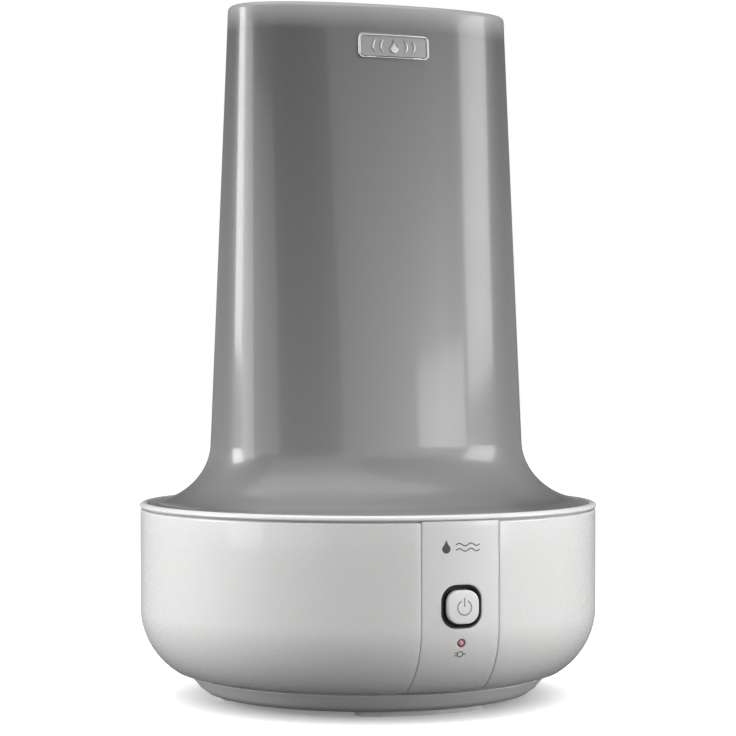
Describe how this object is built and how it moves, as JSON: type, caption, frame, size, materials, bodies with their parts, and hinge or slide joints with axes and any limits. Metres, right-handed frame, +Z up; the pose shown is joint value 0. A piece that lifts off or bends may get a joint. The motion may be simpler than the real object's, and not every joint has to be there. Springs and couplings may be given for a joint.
{
  "type": "cool mist humidifier",
  "caption": "Round white humidifier base with a tall smoked oval water tank that lifts off, turning mist nozzles and one front power button.",
  "frame": {"origin": "on the floor under the middle of the round base", "axes": "+Z up, the control panel facing -Y, +X to the right of somebody facing the panel"},
  "size_m": [0.2804, 0.2854, 0.42],
  "materials": {
    "white_gloss": "glossy",
    "white_satin": "satin",
    "smoke_tank": "glossy, smoked and slightly see-through",
    "grey_plastic": "satin",
    "dark_plastic": "satin",
    "rubber": "matte",
    "pad_rubber": "matte, pale",
    "red_lens": "glossy",
    "circuit": "satin",
    "foam": "open foam",
    "steel": "brushed",
    "aluminium": "satin",
    "bright_metal": "polished"
  },
  "bodies": {
    "base": {"base_shell": "white_gloss", "control_panel": "white_gloss", "rim_ring": "white_gloss", "bottom_cover": "white_satin", "rubber_foot_1": "pad_rubber", "rubber_foot_2": "pad_rubber", "rubber_foot_3": "pad_rubber", "bottom_screw_1": "steel", "bottom_screw_2": "steel", "bottom_screw_3": "steel", "button_bezel": "dark_plastic", "led_lens": "red_lens", "led_diode": "red_lens", "tact_switch": "dark_plastic", "control_board": "circuit", "basin": "grey_plastic", "transducer_seal": "rubber", "transducer_disc": "steel", "transducer_clamp": "aluminium", "driver_board": "circuit", "valve_pin": "grey_plastic", "float_post": "grey_plastic", "blower_housing": "dark_plastic", "fan_motor": "steel", "air_duct": "dark_plastic", "intake_filter": "foam", "main_board": "circuit", "cable_gland": "white_satin"},
    "tank": {"tank_shell": "smoke_tank", "tank_base": "smoke_tank", "mist_chimney": "smoke_tank", "tank_roof": "smoke_tank", "top_cover": "grey_plastic", "emblem": "bright_metal"},
    "power_button": {"power_button": "white_satin"},
    "fan_rotor": {"fan_rotor": "dark_plastic"},
    "water_float": {"water_float": "white_satin"},
    "nozzle_left": {"nozzle_left": "grey_plastic"},
    "nozzle_right": {"nozzle_right": "grey_plastic"},
    "cap_seal": {"cap_seal": "rubber"},
    "fill_cap": {"fill_cap": "grey_plastic"},
    "valve_plunger": {"valve_plunger": "dark_plastic"}
  },
  "joints": [
    {"name": "tank_lift", "type": "slide", "parent": "base", "child": "tank", "axis": [0, 0, 1], "range_m": [0, 0.16]},
    {"name": "power_press", "type": "slide", "parent": "base", "child": "power_button", "axis": [0, 1, 0], "range_m": [0, 0.0012], "stiffness_N_per_m": 900, "springref_m": -0.0008},
    {"name": "fan_spin", "type": "hinge", "parent": "base", "child": "fan_rotor", "pos_m": [0, 0, 0.0287], "axis": [0, 0, 1], "continuous": true},
    {"name": "float_rise", "type": "slide", "parent": "base", "child": "water_float", "axis": [0, 0, 1], "range_m": [0, 0.008]},
    {"name": "nozzle_left_turn", "type": "hinge", "parent": "tank", "child": "nozzle_left", "pos_m": [-0.042, 0, 0.41], "axis": [0, 0, 1], "continuous": true},
    {"name": "nozzle_right_turn", "type": "hinge", "parent": "tank", "child": "nozzle_right", "pos_m": [0.042, 0, 0.41], "axis": [0, 0, 1], "continuous": true},
    {"name": "cap_drop", "type": "slide", "parent": "tank", "child": "cap_seal", "axis": [0, 0, -1], "range_m": [0, 0.0046]},
    {"name": "cap_turn", "type": "hinge", "parent": "cap_seal", "child": "fill_cap", "pos_m": [-0.085, 0, 0.1], "axis": [0, 0, 1], "range_deg": [0, 540]},
    {"name": "valve_travel", "type": "slide", "parent": "tank", "child": "valve_plunger", "axis": [0, 0, -1], "range_m": [0, 0.0035]}
  ],
  "couplings": [
    {"joint": "cap_drop", "follows": "cap_turn", "m_per_rad": 0.00047746},
    {"joint": "valve_travel", "follows": "tank_lift", "ratio": 0.021875}
  ]
}
